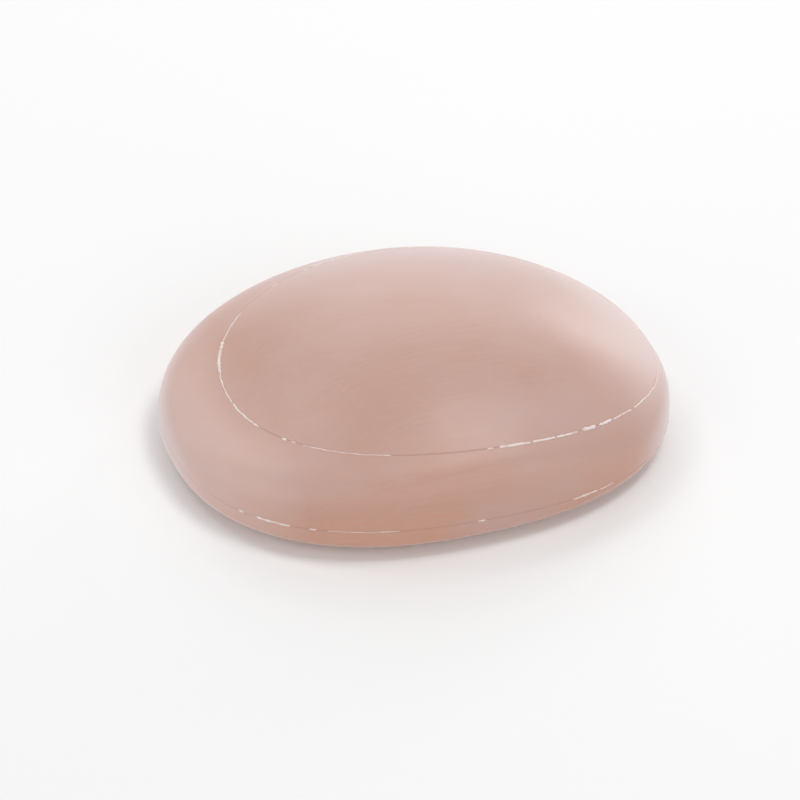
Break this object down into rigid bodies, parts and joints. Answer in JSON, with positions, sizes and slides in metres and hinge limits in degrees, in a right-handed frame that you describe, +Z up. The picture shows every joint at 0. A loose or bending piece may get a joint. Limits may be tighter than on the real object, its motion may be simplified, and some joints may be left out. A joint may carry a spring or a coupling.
{
  "type": "bar of soap",
  "caption": "Pebble-shaped bar of toilet soap, pressed in one piece, with a shallow domed cap, a low belly and a flat resting face.",
  "frame": {"origin": "middle of the bar's footprint, on the surface that it rests on", "axes": "+X along the bar to the end that the cap leans to, +Y across the bar, +Z up through the cap"},
  "size_m": [0.09, 0.07, 0.0246],
  "materials": {
    "soap": "smooth waxy satin, dusty pink, faintly streaked along the bar, with thin pale die flash"
  },
  "bodies": {
    "root": {"soap_bar": "soap"}
  },
  "joints": []
}
